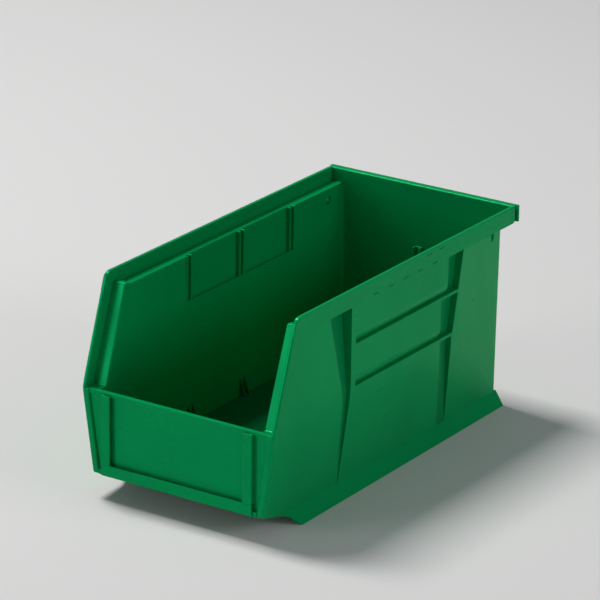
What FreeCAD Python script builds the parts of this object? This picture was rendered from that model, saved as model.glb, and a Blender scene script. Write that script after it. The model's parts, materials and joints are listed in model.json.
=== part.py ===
"""Stackable storage bin: one thin-walled polypropylene moulding, modelled as the regions it is moulded from.

Millimetres, +Z up, front towards -Y. The origin is on the floor under the middle of the bin.
Every y in an outline is a depth behind the front edge flanges. Left and right are as seen from the front.
"""
import FreeCAD, Part
import os

# Overall size
width = 139.7          # over the two side rims, 5 1/2 in
length = 276.2         # label holder to hang lip, 10 7/8 in
height = 136.0         # floor to rim
wall = 2.5             # moulded wall

# Stacking rim
rim_low = 124.8        # underside of the rim band and ledge
ledge_top = 126.8      # where the feet of the bin above stand
ledge_thick = ledge_top - rim_low
band = 8.0             # depth of the rim band along the sloping front edge
ledge_reach = 1.25     # sloping ledge inside the side wall
nose_top = 128.7       # stop in front of the foot of the bin above
nose_back = 35.2
inner_half = 59.6      # inner face of a side wall under the ledge
draft = 0.0135         # lean of the thin side wall, per mm of height

# Front
holder_proud = 1.5     # label holder in front of the edge flanges
panel_back = 1.8       # front wall face behind the edge flanges
lip_height = 69.0
flange_wide = 4.5
front_low = 15.5
rim_front = 23.5       # where the level rim starts
label_inner = 48.3
label_outer = 55.0
label_strip = 7.5
label_top = 67.5

# Lower side walls, floor and feet
kink = 70.0            # below this the side panels lean in
bend = 9.0             # half the height over which they start to lean
set_back = 0.25        # panels behind the face of the rim and the flanges
crease = 9.4           # top of the foot, just higher than the rim stands over the ledge
crease_half = 60.9
foot_half = 67.0
foot_wall = 2.6
foot_tip = 35.7
foot_back = 269.0
sole_rise = 21.4       # where the sole starts rising towards the front
floor_low = 14.0
floor_top = 16.5

# Back
back_inner = 269.2
back_outer = 271.4
lip_gap = 1.6          # channel the wall rail or louvre slips into
lip_end = 1.1          # hang lip beyond the rim at each side
lip_plate = 2.5
corner_outer = 7.0
corner_inner = 2.5

# Grooves, post, panels and ribs on the outside of each side wall
front_groove = (59.0, 74.0, 81.5)      # front edge at the rim, the kink and the crease
post_front = 82.5
post_back = 87.5
upper_panel_back = 192.0
middle_panel_back = 184.0
lower_panel_back = 196.0
back_groove = (209.6, 197.5, 205.0)    # back edge at the rim, the kink and the crease
back_panel_end = 0.6   # what is left of the tapered panel where the corner begins
rib_levels = (100.3, 73.0)
rib_thick = 2.0
curl_height = 7.0
curl_depth = 3.0
skin = 2.2             # skin of the doubled panels over their hollow cores

# Divider slots, floor guides and hanging holes
slot_places = {"front": 97.0, "middle": 154.0, "back": 210.5}
slot_low = 97.0
slot_wide = 3.0
slot_ridge = 1.6
ridge_proud = 1.0
slot_depth = 1.2
pocket_depth = 1.9
guide_height = 12.0
guide_reach = 5.0
back_guide_reach = 3.5
back_guide_top = 95.0
hole_place = (253.0, 119.0)
hole_radius = 3.0

half = width / 2
front = -length / 2 + holder_proud
back = length / 2 - front
rim_inner = half - wall
slope = (height - lip_height) / rim_front
slope_top = (rim_low - lip_height) / slope
lean = band / slope * (1 + slope * slope) ** 0.5
front_wall_inner = panel_back + wall
parts = {}


def prism(points, direction):
    """A straight solid from a closed outline."""
    wire = Part.makePolygon(points + [points[0]])
    return Part.Face(wire).extrude(direction)


def plate(outline, x_low, x_high):
    """A solid with a side-view outline of (y, z) points, between two x positions."""
    points = [FreeCAD.Vector(x_low, front + y, z) for y, z in outline]
    return prism(points, FreeCAD.Vector(x_high - x_low, 0, 0))


def bar(section, y_low, y_high):
    """A solid with a front-view section of (x, z) points, between two y positions."""
    points = [FreeCAD.Vector(x, front + y_low, z) for x, z in section]
    return prism(points, FreeCAD.Vector(0, y_high - y_low, 0))


def column(outline, z_low, z_high):
    """A solid with a plan outline of (x, y) points, between two heights."""
    points = [FreeCAD.Vector(x, front + y, z_low) for x, y in outline]
    return prism(points, FreeCAD.Vector(0, 0, z_high - z_low))


def block(x, y, z):
    """A box from three (low, high) pairs."""
    return plate([(y[0], z[0]), (y[1], z[0]), (y[1], z[1]), (y[0], z[1])], x[0], x[1])


def moved(solid, x, y, z):
    copy = solid.copy()
    copy.translate(FreeCAD.Vector(x, y, z))
    return copy


def cored(solid):
    """Hollow a doubled panel from behind, leaving an even skin on its other faces."""
    core = moved(solid, -skin, 0, 0)
    for step in ((0, skin, 0), (0, -skin, 0), (0, 0, skin), (0, 0, -skin)):
        core = core.common(moved(solid, *step))
    return solid.cut(moved(core, -0.1, 0, 0))


def inside_x(z):
    """Inner face of the thin side wall at height z."""
    return inner_half - (rim_low - z) * draft


def outside_x(z):
    """Outer face of the thin side wall at height z."""
    return inside_x(z) + wall


def side_curve():
    """Front-view points down the outer face of the side panels: upright, a gentle bend, a straight lean."""
    face = half - set_back
    lean_in = (face - crease_half) / (kink - crease)
    points = [(face, height)]
    for step in range(7):
        drop = bend * step / 3
        points.append((face - lean_in * drop ** 2 / (4 * bend), kink + bend - drop))
    return points + [(crease_half, crease)]


def skin_x(z):
    """Outer face of the side panels at height z."""
    for (x_high, z_high), (x_low, z_low) in zip(skin_points[:-1], skin_points[1:]):
        if z >= z_low - 0.001:
            return x_low + (z - z_low) * (x_high - x_low) / (z_high - z_low)


def skin_line(top, low):
    """The stretch of the side panels' curve between two heights."""
    between = [(x, z) for x, z in skin_points if top - 0.01 > z > low + 0.01]
    return [(skin_x(top), top)] + between + [(skin_x(low), low)]


def keep_pair(name, solid):
    """Keep a right-hand solid and its mirror image."""
    parts["right_" + name] = solid
    parts["left_" + name] = solid.mirror(FreeCAD.Vector(0, 0, 0), FreeCAD.Vector(1, 0, 0))


def corner_ring(z):
    """Plan of the rounded corner between a side wall and the back wall at height z."""
    outer = outside_x(z)
    inner = inside_x(z)
    start = back_outer - corner_outer
    turn = 0.5 ** 0.5

    def at(x, y):
        return FreeCAD.Vector(x, front + y, z)

    side_end = at(outer, start)
    back_end = at(outer - corner_outer, back_outer)
    outer_mid = at(outer - corner_outer * (1 - turn), back_outer - corner_outer * (1 - turn))
    inner_back = at(outer - corner_outer, back_inner)
    inner_a = at(inner - corner_inner, back_inner)
    inner_mid = at(inner - corner_inner * (1 - turn), back_inner - corner_inner * (1 - turn))
    inner_b = at(inner, back_inner - corner_inner)
    inner_side = at(inner, start)
    edges = [Part.Arc(side_end, outer_mid, back_end).toShape(), Part.makeLine(back_end, inner_back),
             Part.makeLine(inner_back, inner_a), Part.Arc(inner_a, inner_mid, inner_b).toShape(),
             Part.makeLine(inner_b, inner_side), Part.makeLine(inner_side, side_end)]
    return Part.Wire(edges)


def wall_corner():
    keep_pair("wall_corner", Part.makeLoft([corner_ring(crease), corner_ring(rim_low)], True, True))


def floor_and_front():
    low = inside_x(floor_low)
    top = inside_x(floor_top)
    floor = bar([(-low, floor_low), (low, floor_low), (top, floor_top), (-top, floor_top)],
                front_wall_inner, back_inner)
    parts["floor_panel"] = floor.cut(parts["left_wall_corner"]).cut(parts["right_wall_corner"])
    face = between_flanges(floor_low, lip_height - 3)
    wall_face = bar(face, panel_back, front_wall_inner)
    edge = bar(between_flanges(front_low, front_low + 3), 0, panel_back)
    parts["front_wall"] = wall_face.fuse(edge).removeSplitter()
    parts["front_lip"] = bar(between_flanges(lip_height - 3, lip_height), panel_back - 0.8, front_wall_inner)


def between_flanges(low, top):
    """Front-view outline between the two edge flanges."""
    side = [(x + set_back - flange_wide, z) for x, z in skin_line(top, low)]
    return side + [(-x, z) for x, z in reversed(side)]


def label_holder():
    for side, sign in (("left", -1), ("right", 1)):
        edge = sign * label_inner
        end = sign * label_outer
        web = end - sign * 2.6
        outline = [(edge, -holder_proud), (end, -holder_proud), (end, panel_back), (web, panel_back),
                   (web, 0), (edge, 0)]
        strip = column(outline, front_low + label_strip, label_top)
        parts["label_holder_" + side + "_strip"] = strip.cut(parts["front_lip"])
    parts["label_holder_bottom_strip"] = block((-label_outer, label_outer), (-holder_proud, 0),
                                               (front_low, front_low + label_strip))


def edge_flange():
    outer = [(x + set_back, z) for x, z in skin_line(lip_height, floor_low)]
    section = outer + [(x - flange_wide, z) for x, z in reversed(outer)]
    outline = [(0, front_low), (0, lip_height), (front_wall_inner, lip_height), (front_wall_inner, floor_low)]
    keep_pair("front_edge_flange", bar(section, 0, front_wall_inner).common(plate(outline, 0, half)))


def rims():
    level = [(slope_top, rim_low), (rim_front, height), (back_inner, height), (back_inner, rim_low)]
    rim = plate(level, rim_inner, half)
    nose = [edge for edge in rim.Edges if edge.BoundBox.XLength > 1 and edge.BoundBox.ZMin > height - 0.1
            and edge.BoundBox.YMax < front + rim_front + 0.1]
    keep_pair("rim", rim.makeFillet(5.5, nose))
    sloping = [(0, lip_height), (slope_top, rim_low), (slope_top + lean, rim_low), (lean, lip_height)]
    outer = [(x + set_back, z) for x, z in skin_line(rim_low, lip_height)]
    section = outer + [(rim_inner, lip_height), (rim_inner, rim_low)]
    keep_pair("sloping_rim", bar(section, 0, back).common(plate(sloping, 0, half)))


def ledges():
    """The level ledge, and the sloping one that rises over it as a stop in front of the foot above."""
    thick = ledge_thick * 1.05
    start = slope_top + lean
    rise = nose_top - ledge_top
    level = [(nose_back, rim_low), (nose_back, ledge_top), (back_inner, ledge_top), (back_inner, rim_low)]
    keep_pair("stacking_ledge", carve(plate(level, inner_half, rim_inner)))
    outline = [(lean, lip_height), (start + (nose_top - rim_low) / slope, nose_top), (nose_back - rise, nose_top),
               (nose_back, ledge_top), (nose_back, rim_low), (start + thick, rim_low), (lean + thick, lip_height)]
    section = [(inside_x(nose_top) - ledge_reach, nose_top), (rim_inner, nose_top), (rim_inner, lip_height),
               (inside_x(lip_height) - ledge_reach, lip_height)]
    keep_pair("sloping_ledge", bar(section, 0, back).common(plate(outline, 0, half)))


def carve(solid):
    """Take the shallow pockets between the divider slots, and the slots themselves, out of a solid."""
    places = list(slot_places.values())
    reach = slot_wide / 2 + slot_ridge
    for low, high in zip(places[:-1], places[1:]):
        solid = solid.cut(block((0, inner_half + pocket_depth), (low + reach, high - reach), (slot_low, ledge_top)))
    for place in places:
        solid = solid.cut(block((0, inner_half + wall), (place - reach, place + reach), (slot_low, ledge_top)))
    return solid


def divider_slots():
    """Upright channels in each side wall, lipped by two low ridges, for cross dividers."""
    reach = slot_wide / 2 + slot_ridge
    for name, place in slot_places.items():
        under = bar([(inside_x(slot_low) - 0.3, slot_low), (outside_x(slot_low), slot_low), (inner_half + wall, rim_low),
                     (inner_half - ridge_proud, rim_low)], place - reach, place + reach)
        over = block((inner_half - ridge_proud, inner_half + wall), (place - reach, place + reach),
                     (rim_low, ledge_top))
        channel = block((0, inner_half + slot_depth), (place - slot_wide / 2, place + slot_wide / 2),
                        (slot_low, ledge_top))
        keep_pair(name + "_divider_slot", under.fuse(over).removeSplitter().cut(channel))


def side_wall():
    section = [(inside_x(rim_low), rim_low), (outside_x(rim_low), rim_low), (outside_x(crease), crease),
               (inside_x(crease), crease)]
    outline = [(lean, lip_height), (slope_top + lean, rim_low), (back_outer - corner_outer, rim_low),
               (back_outer - corner_outer, crease), (sole_rise, crease), (front_wall_inner, floor_low),
               (front_wall_inner, lip_height)]
    solid = bar(section, 0, back).common(plate(outline, 0, half)).cut(parts["right_sloping_ledge"])
    keep_pair("side_wall", carve(solid).cut(drill()))


def drill():
    """The hanging hole, right through the wall and the panel outside it."""
    y, z = hole_place
    return Part.makeCylinder(hole_radius, 20, FreeCAD.Vector(inner_half - 10, front + y, z), FreeCAD.Vector(1, 0, 0))


def skin_section(line):
    """Front-view section between the thin wall and a line of points running down from the rim."""
    return [(outside_x(rim_low), rim_low)] + line + [(outside_x(crease), crease)]


def front_panel():
    outline = [(front_wall_inner, floor_low), (front_wall_inner, lip_height), (lean, lip_height),
               (lean + slope_top, rim_low), (front_groove[0], rim_low), (front_groove[1], kink),
               (front_groove[2], crease), (sole_rise, crease)]
    section = skin_section(skin_line(rim_low, crease))
    solid = bar(section, 0, post_front).common(plate(outline, 0, half)).cut(parts["right_sloping_ledge"])
    keep_pair("front_side_panel", cored(solid))


def groove_webs():
    """The set-back webs between the side panels."""
    lines = {"front_groove_web": (7.4, 2.9, [(front_groove[0], rim_low), (post_front, rim_low), (post_front, crease),
                                            (front_groove[2], crease), (front_groove[1], kink)]),
             "back_groove_web": (5.2, 4.1, [(upper_panel_back, rim_low), (back_groove[0], rim_low),
                                           (back_groove[1], kink), (back_groove[2], crease),
                                           (lower_panel_back, crease), (middle_panel_back, kink),
                                           (middle_panel_back, rib_levels[0] - rib_thick),
                                           (upper_panel_back, rib_levels[0] - rib_thick)])}
    for name, (top_depth, kink_depth, outline) in lines.items():
        section = skin_section([(half - top_depth, rim_low), (half - kink_depth, kink), (crease_half - 0.1, crease)])
        keep_pair(name, bar(section, 0, back).common(plate(outline, 0, half)))


def post_and_ribs():
    section = skin_section(skin_line(rim_low, crease))
    keep_pair("side_post", bar(section, post_front, post_back))
    for name, level in zip(("upper_side_rib", "lower_side_rib"), rib_levels):
        low = level - rib_thick
        rise = (back_groove[0] - back_groove[1]) / (rim_low - kink)
        outline = [(post_back, low), (back_groove[1] + (low - kink) * rise, low),
                   (back_groove[1] + (level - kink) * rise, level), (post_back, level)]
        section = [(outside_x(level), level), (skin_x(level), level), (skin_x(low), low), (outside_x(low), low)]
        rib = bar(section, post_back, back).common(plate(outline, 0, half))
        keep_pair(name, rib.cut(parts["right_back_groove_web"]))


def curled_panel(name, top, low, end):
    """An upright panel whose lower edge curls in above the rib under it."""
    steps = [step / 5 for step in range(6)]
    face = half - set_back
    curl = [(face - curl_depth * step ** 2, low + curl_height * (1 - step)) for step in steps]
    section = [(outside_x(top), top), (face, top)] + curl + [(outside_x(low), low)]
    keep_pair(name, cored(bar(section, post_back, end)))


def middle_panels():
    upper, lower = rib_levels
    curled_panel("upper_side_panel", rim_low, upper, upper_panel_back)
    curled_panel("middle_side_panel", upper - rib_thick, lower, middle_panel_back)
    top = lower - rib_thick
    outline = [(post_back, top), (middle_panel_back, top), (middle_panel_back, kink),
               (lower_panel_back, crease), (post_back, crease)]
    section = [(outside_x(top), top)] + skin_line(top, crease) + [(outside_x(crease), crease)]
    keep_pair("lower_side_panel", cored(bar(section, 0, back).common(plate(outline, 0, half))))


def back_panel():
    """The panel behind the rear groove, planed down at the wall's own lean until it fades into the corner."""
    end = back_outer - corner_outer
    outline = [(back_groove[0], rim_low), (end, rim_low), (end, crease), (back_groove[2], crease),
               (back_groove[1], kink)]
    section = skin_section(skin_line(rim_low, crease))
    solid = bar(section, 0, back).common(plate(outline, 0, half))
    full = half - set_back
    taper = (full - inner_half - wall - back_panel_end) / (end - back_groove[0])
    leaned = rim_low * draft
    planed = [FreeCAD.Vector(full - leaned + 20 * taper, front + back_groove[0] - 20, 0),
              FreeCAD.Vector(full - leaned - (end - back_groove[0] + 1) * taper, front + end + 1, 0),
              FreeCAD.Vector(half + 5, front + end + 1, 0), FreeCAD.Vector(half + 5, front + back_groove[0] - 20, 0)]
    beyond = prism(planed, FreeCAD.Vector(height * draft, 0, height))
    keep_pair("back_side_panel", cored(solid.cut(beyond)).cut(drill()))


def feet():
    section = [(crease_half - foot_wall, crease), (crease_half, crease), (foot_half, 0), (foot_half - foot_wall, 0)]
    outline = [(sole_rise, crease), (28.7, 6.8), (foot_tip, 0), (foot_back, 0), (foot_back, crease)]
    keep_pair("foot", bar(section, 0, foot_back).common(plate(outline, 0, half)))


def back_and_hang_lip():
    low = outside_x(crease) - corner_outer
    top = outside_x(rim_low) - corner_outer
    section = [(-low, crease), (low, crease), (top, rim_low), (-top, rim_low)]
    parts["back_wall"] = bar(section, back_inner, back_outer)
    parts["back_rim"] = block((-half, half), (back_inner, back_outer), (rim_low, height))
    reach = half + lip_end
    flange = back_outer + lip_gap
    parts["hang_lip_top"] = block((-reach, reach), (back_outer, flange), (height - lip_plate, height))
    parts["hang_lip_flange"] = block((-reach, reach), (flange, back), (rim_low, height))


def guides():
    """Low rib pairs that keep the foot of a divider in place."""
    reach = slot_wide / 2 + slot_ridge
    base = inside_x(floor_top)
    upper = inside_x(floor_top + guide_height)
    for name, place in slot_places.items():
        rib = bar([(base - guide_reach, floor_top), (base, floor_top), (upper, floor_top + guide_height)],
                  place - reach, place + reach)
        gap = block((0, half), (place - slot_wide / 2, place + slot_wide / 2), (floor_top + 0.6, height))
        keep_pair(name + "_floor_guide", rib.cut(gap))
    rear = block((-reach, reach), (back_inner - back_guide_reach, back_inner), (floor_top, back_guide_top))
    gap = block((-slot_wide / 2, slot_wide / 2), (0, back_inner - 0.6), (floor_top, height))
    parts["back_divider_guide"] = rear.cut(gap)


def export():
    os.makedirs("parts", exist_ok=True)
    for name, shape in parts.items():
        shape.exportStep(os.path.join("parts", name + ".step"))


skin_points = side_curve()
wall_corner()
floor_and_front()
label_holder()
edge_flange()
rims()
ledges()
divider_slots()
side_wall()
front_panel()
groove_webs()
post_and_ribs()
middle_panels()
back_panel()
feet()
back_and_hang_lip()
guides()
export()
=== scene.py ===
import bpy
import bmesh
import json
import math
from mathutils import Matrix, Vector
from mathutils.bvhtree import BVHTree


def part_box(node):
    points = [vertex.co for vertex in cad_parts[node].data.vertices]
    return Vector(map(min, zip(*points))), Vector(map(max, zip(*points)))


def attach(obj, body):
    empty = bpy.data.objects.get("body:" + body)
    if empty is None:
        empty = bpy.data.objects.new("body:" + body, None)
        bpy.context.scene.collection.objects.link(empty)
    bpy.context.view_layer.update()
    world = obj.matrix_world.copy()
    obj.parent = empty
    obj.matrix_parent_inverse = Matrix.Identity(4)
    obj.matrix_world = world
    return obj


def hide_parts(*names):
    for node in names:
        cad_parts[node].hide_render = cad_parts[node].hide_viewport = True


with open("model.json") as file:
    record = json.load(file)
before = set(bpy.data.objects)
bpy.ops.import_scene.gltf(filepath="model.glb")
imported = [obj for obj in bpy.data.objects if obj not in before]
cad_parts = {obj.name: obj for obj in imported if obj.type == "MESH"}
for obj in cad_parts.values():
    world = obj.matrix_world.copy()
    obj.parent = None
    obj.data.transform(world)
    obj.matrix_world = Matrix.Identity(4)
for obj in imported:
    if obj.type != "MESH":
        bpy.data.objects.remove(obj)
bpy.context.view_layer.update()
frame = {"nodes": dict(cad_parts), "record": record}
scene = bpy.context.scene


# Floor of the bin
# The flat bottom between the side walls, 2.5 mm of green polypropylene, darker than the rest as painted shade
# for the shade in the bottom of the bin. The bin is shot in one mould, so every region below is the same
# plastic and runs into its neighbours without a joint.

def polypropylene(name, colour, roughness, flow, scuffs):
    """Coloured polypropylene: a fine spark-eroded grain, faint flow marks, and light rubs from use.

    The flow stretches the marks along the way the plastic ran. The gloss is set for a deep green sheen with
    next to no white in it, so its index and its metallic share are a finish, not measured values.
    """
    flow_scale = 16.0
    rub_scale = 240.0
    sheen_scale = 38.0
    grain_scale = 2600.0
    wave_scale = 22.0
    rub_streak = (1.0, 0.06, 1.0)
    unstretched = (1.0, 1.0, 1.0)
    material = bpy.data.materials.new(name)
    material.use_nodes = True
    nodes = material.node_tree.nodes
    links = material.node_tree.links
    plastic = nodes["Principled BSDF"]
    plastic.inputs["Metallic"].default_value = 0.12
    plastic.inputs["IOR"].default_value = 1.10
    plastic.inputs["Specular IOR Level"].default_value = 1.0
    plastic.inputs["Specular Tint"].default_value = (0.12, 1.0, 0.60, 1.0)
    place = nodes.new("ShaderNodeTexCoord")

    def noise(scale, detail, stretch=unstretched):
        mapping = nodes.new("ShaderNodeMapping")
        mapping.inputs["Scale"].default_value = stretch
        links.new(place.outputs["Object"], mapping.inputs["Vector"])
        texture = nodes.new("ShaderNodeTexNoise")
        texture.inputs["Scale"].default_value = scale
        texture.inputs["Detail"].default_value = detail
        links.new(mapping.outputs["Vector"], texture.inputs["Vector"])
        return texture.outputs["Fac"]

    def spread(value, low, high, from_low=0.3, from_high=0.7):
        remap = nodes.new("ShaderNodeMapRange")
        remap.inputs["From Min"].default_value = from_low
        remap.inputs["From Max"].default_value = from_high
        remap.inputs["To Min"].default_value = low
        remap.inputs["To Max"].default_value = high
        links.new(value, remap.inputs["Value"])
        return remap.outputs["Result"]

    def blend(factor, first, second):
        mix = nodes.new("ShaderNodeMix")
        mix.data_type = "RGBA"
        links.new(factor, mix.inputs["Factor"])
        for socket, value in ((mix.inputs["A"], first), (mix.inputs["B"], second)):
            if isinstance(value, tuple):
                socket.default_value = value
            else:
                links.new(value, socket)
        return mix.outputs["Result"]

    deep = tuple(channel * 0.90 for channel in colour) + (1.0,)
    pale = tuple(channel * 1.07 for channel in colour) + (1.0,)
    marks = spread(noise(flow_scale, 4.0, flow), 0.0, 1.0)
    body = blend(marks, deep, pale)
    rub = spread(noise(rub_scale, 3.0, rub_streak), 0.0, scuffs, 0.60, 0.80)
    rubbed = (colour[0] + 0.008, colour[1] * 1.06, colour[2] * 1.20, 1.0)
    links.new(blend(rub, body, rubbed), plastic.inputs["Base Color"])

    sheen = nodes.new("ShaderNodeMath")
    sheen.operation = "ADD"
    links.new(spread(noise(sheen_scale, 3.0), roughness - 0.05, roughness + 0.06), sheen.inputs[0])
    links.new(spread(rub, 0.0, 0.10, 0.0, scuffs), sheen.inputs[1])
    links.new(sheen.outputs["Value"], plastic.inputs["Roughness"])

    grain = nodes.new("ShaderNodeBump")
    grain.inputs["Strength"].default_value = 0.10
    grain.inputs["Distance"].default_value = 0.00010
    links.new(noise(grain_scale, 2.0), grain.inputs["Height"])
    waves = nodes.new("ShaderNodeBump")
    waves.inputs["Strength"].default_value = 0.22
    waves.inputs["Distance"].default_value = 0.0010
    links.new(noise(wave_scale, 1.0), waves.inputs["Height"])
    links.new(grain.outputs["Normal"], waves.inputs["Normal"])
    links.new(waves.outputs["Normal"], plastic.inputs["Normal"])
    return material


def air_around():
    """A test for whether a point is in open air, clear of every solid of the bin.

    A ray from a point inside a closed solid leaves it an odd number of times.
    """
    past_surface = 1e-6
    most_crossings = 60
    trees = []
    for name, node in frame["nodes"].items():
        mesh = node.data
        mesh.calc_loop_triangles()
        points = [vertex.co for vertex in mesh.vertices]
        tree = BVHTree.FromPolygons(points, [triangle.vertices[:] for triangle in mesh.loop_triangles])
        trees.append((tree,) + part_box(name))
    heading = Vector((0.5371, 0.3119, 0.7837)).normalized()

    def open_at(point):
        for tree, low, high in trees:
            if any(point[axis] < low[axis] or point[axis] > high[axis] for axis in range(3)):
                continue
            crossings = 0
            start = point.copy()
            hit = tree.ray_cast(start, heading)[0]
            while hit is not None and crossings < most_crossings:
                crossings += 1
                start = hit + heading * past_surface
                hit = tree.ray_cast(start, heading)[0]
            if crossings % 2:
                return False
        return True

    return open_at


def finish(mesh, name, nodes, material):
    """Give a region its mesh, plastic and place in the bin, smooth across its small radii."""
    smooth_below = math.radians(24)
    piece = bpy.data.objects.new(name, mesh)
    scene.collection.objects.link(piece)
    mesh.materials.clear()
    mesh.materials.append(material)
    for polygon in mesh.polygons:
        polygon.use_smooth = True
    mesh.set_sharp_from_angle(angle=smooth_below)
    even = piece.modifiers.new("even_faces", "WEIGHTED_NORMAL")
    even.keep_sharp = True
    even.weight = 80
    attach(piece, "root")
    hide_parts(*nodes)


def open_edge(edge, open_at):
    """Whether most of a sharp outward edge is free of neighbouring regions on both its faces."""
    inset = 0.0003
    lift = 0.0001
    first, second = edge.link_faces
    start, end = (vertex.co for vertex in edge.verts)
    along = (end - start).normalized()
    clear = 0
    for share in (0.1, 0.3, 0.5, 0.7, 0.9):
        point = start.lerp(end, share)
        sides = 0
        for face in (first, second):
            inward = along.cross(face.normal)
            if inward.dot(face.calc_center_median() - point) < 0:
                inward.negate()
            sides += open_at(point + inward * inset + face.normal * lift)
        clear += sides == 2
    return clear >= 3


def at_bore(edge):
    """Whether an edge is part of the round hole in a side wall, which keeps a sharp mouth."""
    just_over_radius = 1.15
    half_span = 0.006
    middle = (edge.verts[0].co + edge.verts[1].co) / 2
    for mount in frame["record"]["mounts"]:
        if mount["kind"] == "bore":
            away = middle - Vector(mount["pos_m"])
            reach = mount["dims"]["r_mm"] / 1000 * just_over_radius
            if math.hypot(away.y, away.z) < reach and abs(away.x) < half_span:
                return True
    return False


def mould(name, nodes, material, radius=0.0005, segments=3, raised=()):
    """One region of the moulding, with the mould's small radius on every edge that the hand can reach."""
    same_point = 2e-6
    flat_within = math.radians(0.3)
    corner_above = math.radians(28)
    body = bmesh.new()
    for node in nodes:
        body.from_mesh(frame["nodes"][node].data)
    bmesh.ops.remove_doubles(body, verts=body.verts, dist=same_point)
    bmesh.ops.dissolve_limit(body, angle_limit=flat_within, verts=body.verts, edges=body.edges)
    bmesh.ops.recalc_face_normals(body, faces=body.faces)
    body.normal_update()
    sharp = [edge for edge in body.edges if len(edge.link_faces) == 2 and edge.is_convex
             and edge.calc_face_angle(0) > corner_above and not at_bore(edge) and open_edge(edge, open_at)]
    bmesh.ops.bevel(body, geom=sharp, offset=radius, segments=segments, profile=0.5, affect="EDGES",
                    clamp_overlap=True)
    for marks in raised:
        body.from_mesh(marks)
    mesh = bpy.data.meshes.new(name)
    body.to_mesh(mesh)
    body.free()
    finish(mesh, name, nodes, material)


open_at = air_around()
bin_green = (0.001, 0.330, 0.094)
# painted shade: the floor's green is darkened to stand for the shade at the bottom of the bin; the floor
# guides share it
floor_painted_shade_green = (0.001, 0.180, 0.052)
floor_painted_shade_plastic = polypropylene("floor_painted_shade_polypropylene", floor_painted_shade_green, 0.36, (1.0, 0.4, 1.0), 0.55)
mould("bin_floor", ["floor_panel"], floor_painted_shade_plastic)


# Front wall and its top edge
# The low wall a hand reaches over. It stands a little behind the edge flanges and carries the label holder;
# its top edge is thickened and rounded so that it does not flex or cut.

front_green = polypropylene("front_polypropylene", bin_green, 0.30, (0.5, 1.0, 1.0), 0.25)
mould("front_wall_panel", ["front_wall"], front_green)
mould("front_wall_top_edge", ["front_lip"], front_green, 0.0009)


# Label holder
# Two upright strips and one along the bottom, standing proud of the front wall with a gap behind the
# upright ones, so that a card drops in from above. They are moulded with the wall.

for strip in ("left_strip", "right_strip", "bottom_strip"):
    mould("label_" + strip, ["label_holder_" + strip], front_green, 0.0006)


# Front edge flanges and the rim along the slope and the sides
# A band runs up from the front corners and back along both sides. It stiffens the open edges and
# keeps the feet of a stacked bin from sliding off the ledges inside it.

class Rule:
    """A small geometry node tree, written down step by step. Sockets go by name, or by number as i0, i1."""

    def __init__(self, name, inputs):
        self.tree = bpy.data.node_groups.new(name, "GeometryNodeTree")
        for label, kind, value in inputs:
            socket = self.tree.interface.new_socket(label, in_out="INPUT", socket_type="NodeSocket" + kind)
            if value is not None:
                socket.default_value = value
        self.tree.interface.new_socket("Geometry", in_out="OUTPUT", socket_type="NodeSocketGeometry")
        self.given = self.tree.nodes.new("NodeGroupInput").outputs

    def add(self, kind, settings=None, **sockets):
        node = self.tree.nodes.new(kind)
        for key, value in (settings or {}).items():
            setattr(node, key, value)
        for key, value in sockets.items():
            socket = node.inputs[int(key[1:])] if key[0] == "i" and key[1:].isdigit() else node.inputs[key]
            if isinstance(value, bpy.types.NodeSocket):
                self.tree.links.new(value, socket)
            elif isinstance(value, list):
                for source in value:
                    self.tree.links.new(source, socket)
            else:
                socket.default_value = value
        return node.outputs[0]

    def vector(self, **parts):
        return self.add("ShaderNodeCombineXYZ", **parts)

    def math(self, operation, first, second=0.0):
        return self.add("ShaderNodeMath", {"operation": operation}, i0=first, i1=second)

    def end(self, geometry):
        real = self.add("GeometryNodeRealizeInstances", Geometry=geometry)
        coloured = self.add("GeometryNodeSetMaterial", Geometry=real, Material=self.given["Material"])
        self.tree.links.new(coloured, self.tree.nodes.new("NodeGroupOutput").inputs[0])
        return self.tree


def grown(tree, material, values):
    """The plain mesh that a rule gives for one set of sizes."""
    carrier = bpy.data.objects.new(tree.name, bpy.data.meshes.new(tree.name))
    scene.collection.objects.link(carrier)
    rule = carrier.modifiers.new("rule", "NODES")
    rule.node_group = tree
    for item in tree.interface.items_tree:
        if item.in_out == "INPUT":
            if item.name == "Material":
                rule[item.identifier] = material
            else:
                rule[item.identifier] = values.get(item.name, item.default_value)
    evaluated = carrier.evaluated_get(bpy.context.evaluated_depsgraph_get())
    mesh = bpy.data.meshes.new_from_object(evaluated)
    carrier.modifiers.remove(rule)
    bpy.data.objects.remove(carrier)
    return mesh


def rim_mark_rule():
    """A row of small raised crescents, thick in the middle and drawn out thin at both ends."""
    rule = Rule("rim_marks", [
        ("Start", "Vector", None), ("Pitch", "Float", 0.0167), ("Count", "Int", 5),
        ("Reach", "Float", 0.0042), ("Rise", "Float", 0.0008), ("Thick", "Float", 0.00050),
        ("Material", "Material", None)])
    least_swell = 0.12
    half_reach = rule.math("MULTIPLY", rule.given["Reach"], 0.5)
    bow = rule.add("GeometryNodeCurveQuadraticBezier", Resolution=16,
                   Start=rule.vector(Y=rule.math("MULTIPLY", half_reach, -1.0)),
                   Middle=rule.vector(Z=rule.math("MULTIPLY", rule.given["Rise"], -2.0)),
                   End=rule.vector(Y=half_reach))
    along = rule.add("GeometryNodeSplineParameter")
    swell = rule.math("ADD", rule.math("SINE", rule.math("MULTIPLY", along, math.pi)), least_swell)
    bow = rule.add("GeometryNodeSetCurveRadius", Curve=bow, Radius=swell)
    ring = rule.add("GeometryNodeCurvePrimitiveCircle", Resolution=10, Radius=rule.given["Thick"])
    sliver = rule.add("GeometryNodeCurveToMesh", **{"Curve": bow, "Profile Curve": ring, "Fill Caps": True})
    row = rule.add("GeometryNodeMeshLine", **{
        "Count": rule.given["Count"], "Start Location": rule.given["Start"],
        "Offset": rule.vector(Y=rule.given["Pitch"])})
    return rule.end(rule.add("GeometryNodeInstanceOnPoints", Points=row, Instance=sliver))


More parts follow.
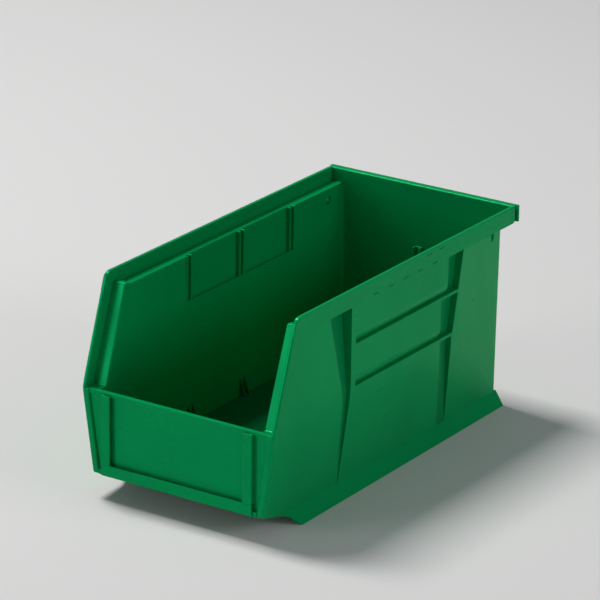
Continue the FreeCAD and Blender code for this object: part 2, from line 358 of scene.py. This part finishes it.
rim_green = polypropylene("rim_polypropylene", bin_green, 0.26, (1.0, 0.2, 1.0), 0.5)
mark_rule = rim_mark_rule()
sunk = 0.00008  # how far a raised mark or rib is bedded in the face it stands on
rim_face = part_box("right_rim")[1][0] - sunk
depth_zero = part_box("right_front_edge_flange")[0][1]
low_mark_depth, low_mark_height, low_mark_pitch = 0.1090, 0.1262, 0.01667
high_mark_depth, high_mark_height, high_mark_pitch = 0.1694, 0.1334, 0.0136
for side in ("left", "right"):
    out = 1 if side == "right" else -1
    low_marks = grown(mark_rule, rim_green, {
        "Start": (out * rim_face, low_mark_depth + depth_zero, low_mark_height),
        "Pitch": low_mark_pitch, "Count": 5})
    high_marks = grown(mark_rule, rim_green, {
        "Start": (out * rim_face, high_mark_depth + depth_zero, high_mark_height),
        "Pitch": high_mark_pitch, "Count": 2})
    mould(side + "_front_flange", [side + "_front_edge_flange"], rim_green, 0.0011, 4)
    mould(side + "_slope_rim", [side + "_sloping_rim"], rim_green, 0.0009, 4)
    mould(side + "_top_rim", [side + "_rim"], rim_green, 0.0006, 3, (low_marks, high_marks))
    mould(side + "_slope_ledge", [side + "_sloping_ledge"], rim_green, 0.0008, 3)
    mould(side + "_foot_ledge", [side + "_stacking_ledge"], rim_green, 0.0008)


# Side walls
# The thin inner walls lean in a little towards the floor so that the bin leaves its mould, and
# turn into the back wall through rounded corners. A plain hole goes through each near the back.

wall_green = polypropylene("wall_polypropylene", bin_green, 0.34, (1.0, 1.0, 0.2), 0.4)
for side in ("left", "right"):
    mould(side + "_inner_wall", [side + "_side_wall"], wall_green, 0.0005)
    mould(side + "_back_corner", [side + "_wall_corner"], wall_green, 0.0005)


# Divider slots
# Three upright channels in each wall, with low ridges either side, take the edges of cross dividers. They
# are part of the wall, and the wall between them is set back a little.

for side in ("left", "right"):
    for place in ("front", "middle", "back"):
        mould(side + "_" + place + "_slot", [side + "_" + place + "_divider_slot"], wall_green, 0.0006)


# Outer panels, post and ribs of each side
# Doubled panels outside the thin wall: one in front of the post, three stepped ones behind it that curl in
# above the level ribs, and one at the back that tapers into the wall. All are moulded with the wall, and
# tapered grooves part them; the groove webs are darker green, painted shade for the shade inside the grooves.

panel_green = polypropylene("panel_polypropylene", bin_green, 0.32, (1.0, 1.0, 0.3), 0.45)
# painted shade: the groove webs' green is darkened to stand for the shade inside the tapered grooves
groove_painted_shade_green = (0.001, 0.235, 0.068)
groove_painted_shade_plastic = polypropylene("groove_painted_shade_polypropylene", groove_painted_shade_green, 0.36, (1.0, 1.0, 0.3), 0.2)
for side in ("left", "right"):
    mould(side + "_front_panel", [side + "_front_side_panel"], panel_green, 0.0005)
    mould(side + "_front_groove", [side + "_front_groove_web"], groove_painted_shade_plastic, 0.0004)
    mould(side + "_back_groove", [side + "_back_groove_web"], groove_painted_shade_plastic, 0.0004)
    mould(side + "_post", [side + "_side_post"], panel_green, 0.0005)
    mould(side + "_top_panel", [side + "_upper_side_panel"], panel_green, 0.0005)
    mould(side + "_mid_panel", [side + "_middle_side_panel"], panel_green, 0.0005)
    mould(side + "_low_panel", [side + "_lower_side_panel"], panel_green, 0.0005)
    mould(side + "_rear_panel", [side + "_back_side_panel"], panel_green, 0.0005)
    mould(side + "_top_rib", [side + "_upper_side_rib"], panel_green, 0.0004)
    mould(side + "_low_rib", [side + "_lower_side_rib"], panel_green, 0.0004)


# Feet
# Skirts that flare out from the foot of each side wall. The bin stands on them, on a shelf or on the
# ledges of the bin below.

foot_green = polypropylene("foot_polypropylene", bin_green, 0.34, (1.0, 0.3, 1.0), 0.8)
for side in ("left", "right"):
    mould(side + "_foot_skirt", [side + "_foot"], foot_green, 0.0006)


# Back wall, back rim and hang lip
# The back wall rises to a rim whose outer lip turns down, so that the bin hangs on a rail or louvre. The lip
# is part of the same green moulding and runs a little past the side rims.

mould("rear_wall", ["back_wall"], wall_green)
mould("rear_rim", ["back_rim"], rim_green, 0.0007)
mould("hang_lip_shelf", ["hang_lip_top"], rim_green, 0.0007)
mould("hang_lip_skirt", ["hang_lip_flange"], rim_green, 0.0007)


# Divider guides
# Low rib pairs on the floor under the slots, and a tall pair in the middle of the back wall. Each is
# moulded with the floor or wall it stands on, and keeps the edge of a divider in place.

def guide_rule():
    """Wedge-shaped rib pairs, one pair for each divider slot, joined by a thin web on the floor."""
    rule = Rule("floor_guides", [
        ("Start", "Vector", None), ("Pitch", "Float", 0.05675), ("Count", "Int", 3),
        ("Toward Middle", "Float", 1.0), ("Reach", "Float", 0.005), ("Height", "Float", 0.012),
        ("Rib", "Float", 0.0016), ("Slot", "Float", 0.003), ("Web", "Float", 0.0006),
        ("Material", "Material", None)])
    given = rule.given
    same_point = 0.00001

    def wedge(width, middle, height):
        block = rule.add("GeometryNodeMeshCube", Size=rule.vector(X=given["Reach"], Y=width, Z=height))
        place = rule.tree.nodes.new("GeometryNodeInputPosition").outputs[0]
        split = rule.tree.nodes.new("ShaderNodeSeparateXYZ")
        rule.tree.links.new(place, split.inputs[0])
        toward_middle = rule.math("MULTIPLY", split.outputs["X"], given["Toward Middle"])
        inner = rule.math("GREATER_THAN", toward_middle, 0.0)
        upper = rule.math("GREATER_THAN", split.outputs["Z"], 0.0)
        drop = rule.math("DIVIDE", height, given["Height"])
        back = rule.math("MULTIPLY", rule.math("MULTIPLY", given["Reach"], given["Toward Middle"]), drop)
        moved = rule.math("MULTIPLY", inner, upper)
        cut = rule.add("GeometryNodeSetPosition", Geometry=block, Selection=moved,
                       Offset=rule.vector(X=rule.math("MULTIPLY", back, -1.0)))
        merged = rule.add("GeometryNodeMergeByDistance", Geometry=cut, Distance=same_point)
        half_reach = rule.math("MULTIPLY", rule.math("MULTIPLY", given["Reach"], 0.5), given["Toward Middle"])
        return rule.add("GeometryNodeTransform", Geometry=merged,
                        Translation=rule.vector(X=half_reach, Y=middle, Z=rule.math("MULTIPLY", height, 0.5)))

    centre = rule.math("MULTIPLY", rule.math("ADD", given["Rib"], given["Slot"]), 0.5)
    pair = rule.add("GeometryNodeJoinGeometry", Geometry=[
        wedge(given["Rib"], centre, given["Height"]),
        wedge(given["Rib"], rule.math("MULTIPLY", centre, -1.0), given["Height"]),
        wedge(given["Slot"], 0.0, given["Web"])])
    row = rule.add("GeometryNodeMeshLine", **{
        "Count": given["Count"], "Start Location": given["Start"], "Offset": rule.vector(Y=given["Pitch"])})
    return rule.end(rule.add("GeometryNodeInstanceOnPoints", Points=row, Instance=pair))


def rounded_ribs(ribs, above):
    """Take the sharpness off the rib edges that stand above a height."""
    corner_above = math.radians(28)
    rib_radius = 0.0003
    body = bmesh.new()
    body.from_mesh(ribs)
    bmesh.ops.recalc_face_normals(body, faces=body.faces)
    corners = [edge for edge in body.edges if len(edge.link_faces) == 2
               and edge.calc_face_angle(0) > corner_above
               and max(vertex.co.z for vertex in edge.verts) > above]
    bmesh.ops.bevel(body, geom=corners, offset=rib_radius, segments=2, profile=0.5, affect="EDGES",
                    clamp_overlap=True)
    body.to_mesh(ribs)
    body.free()


guide_tree = guide_rule()
web_clear = 0.001
for side in ("left", "right"):
    low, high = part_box(side + "_front_floor_guide")
    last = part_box(side + "_back_floor_guide")
    toward = -1.0 if side == "right" else 1.0
    wall_x = high[0] - sunk if side == "right" else low[0] + sunk
    pitch = (last[0][1] - low[1]) / 2
    # the floor guides take the floor's painted shade
    ribs = grown(guide_tree, floor_painted_shade_plastic, {
        "Start": (wall_x, (low[1] + high[1]) / 2, low[2]), "Pitch": pitch, "Toward Middle": toward})
    rounded_ribs(ribs, low[2] + web_clear)
    replaced = [side + "_" + place + "_floor_guide" for place in ("front", "middle", "back")]
    finish(ribs, side + "_floor_guides", replaced, floor_painted_shade_plastic)
mould("rear_guide", ["back_divider_guide"], wall_green, 0.0006)


# Studio
# A wide pale floor that the whole view falls on, a soft key light from the upper left, and two weaker
# ones from the right and the front left. The plastic's green is shown as it is, without a film curve.

def studio_floor():
    material = bpy.data.materials.new("studio_paper")
    material.use_nodes = True
    paper = material.node_tree.nodes["Principled BSDF"]
    paper.inputs["Base Color"].default_value = (0.745, 0.735, 0.730, 1.0)
    paper.inputs["Roughness"].default_value = 0.9
    paper.inputs["Specular IOR Level"].default_value = 0.1
    mesh = bpy.data.meshes.new("studio_floor")
    far = 9
    corners = [(-far, -far, 0), (far, -far, 0), (far, far, 0), (-far, far, 0)]
    mesh.from_pydata(corners, [], [(0, 1, 2, 3)])
    mesh.materials.append(material)
    ground = bpy.data.objects.new("studio_floor", mesh)
    scene.collection.objects.link(ground)


def soft_light(name, place, target, size, power, colour=(1.0, 1.0, 1.0)):
    data = bpy.data.lights.new(name, "AREA")
    data.shape = "RECTANGLE"
    data.size, data.size_y = size
    data.energy = power
    data.color = colour
    light = bpy.data.objects.new(name, data)
    light.location = place
    light.rotation_euler = (Vector(target) - Vector(place)).to_track_quat("-Z", "Y").to_euler()
    scene.collection.objects.link(light)


studio_floor()
soft_light("key_light", (-1.15, 0.10, 2.4), (0, 0, 0.05), (0.60, 0.90), 52, (1.0, 0.99, 0.975))
soft_light("right_light", (2.35, 0.2, 1.15), (0, 0, 0.06), (1.0, 0.8), 13)
soft_light("front_left_light", (-1.3, -2.2, 0.8), (0, 0, 0.05), (0.9, 0.9), 12)
world = bpy.data.worlds.new("studio_air")
world.use_nodes = True
world.node_tree.nodes["Background"].inputs["Color"].default_value = (0.82, 0.90, 1.0, 1.0)
world.node_tree.nodes["Background"].inputs["Strength"].default_value = 0.155
scene.world = world
scene.view_settings.view_transform = "Standard"


# Camera
# A long lens from the front right, a little above the rim. It stands about 2.4 m from the bin, turned
# 33.5 degrees off its front and looking down at 20.4 degrees.

camera_data = bpy.data.cameras.new("camera")
camera_data.sensor_width = 36.0
camera_data.lens = 231.5
camera_data.clip_end = 50.0
camera = bpy.data.objects.new("camera", camera_data)
azimuth, elevation, roll = (math.radians(angle) for angle in (33.54, 20.40, 0.63))
stand = Vector((1.2304, -1.8614, 0.9281))
level = math.cos(elevation)
ahead = Vector((-math.sin(azimuth) * level, math.cos(azimuth) * level, -math.sin(elevation)))
across = ahead.cross(Vector((0, 0, 1))).normalized()
above = across.cross(ahead)
turned = across * math.cos(roll) + above * math.sin(roll)
upright = above * math.cos(roll) - across * math.sin(roll)
camera.matrix_world = Matrix((
    (turned.x, upright.x, -ahead.x, stand.x),
    (turned.y, upright.y, -ahead.y, stand.y),
    (turned.z, upright.z, -ahead.z, stand.z),
    (0, 0, 0, 1),
))
scene.collection.objects.link(camera)
scene.camera = camera
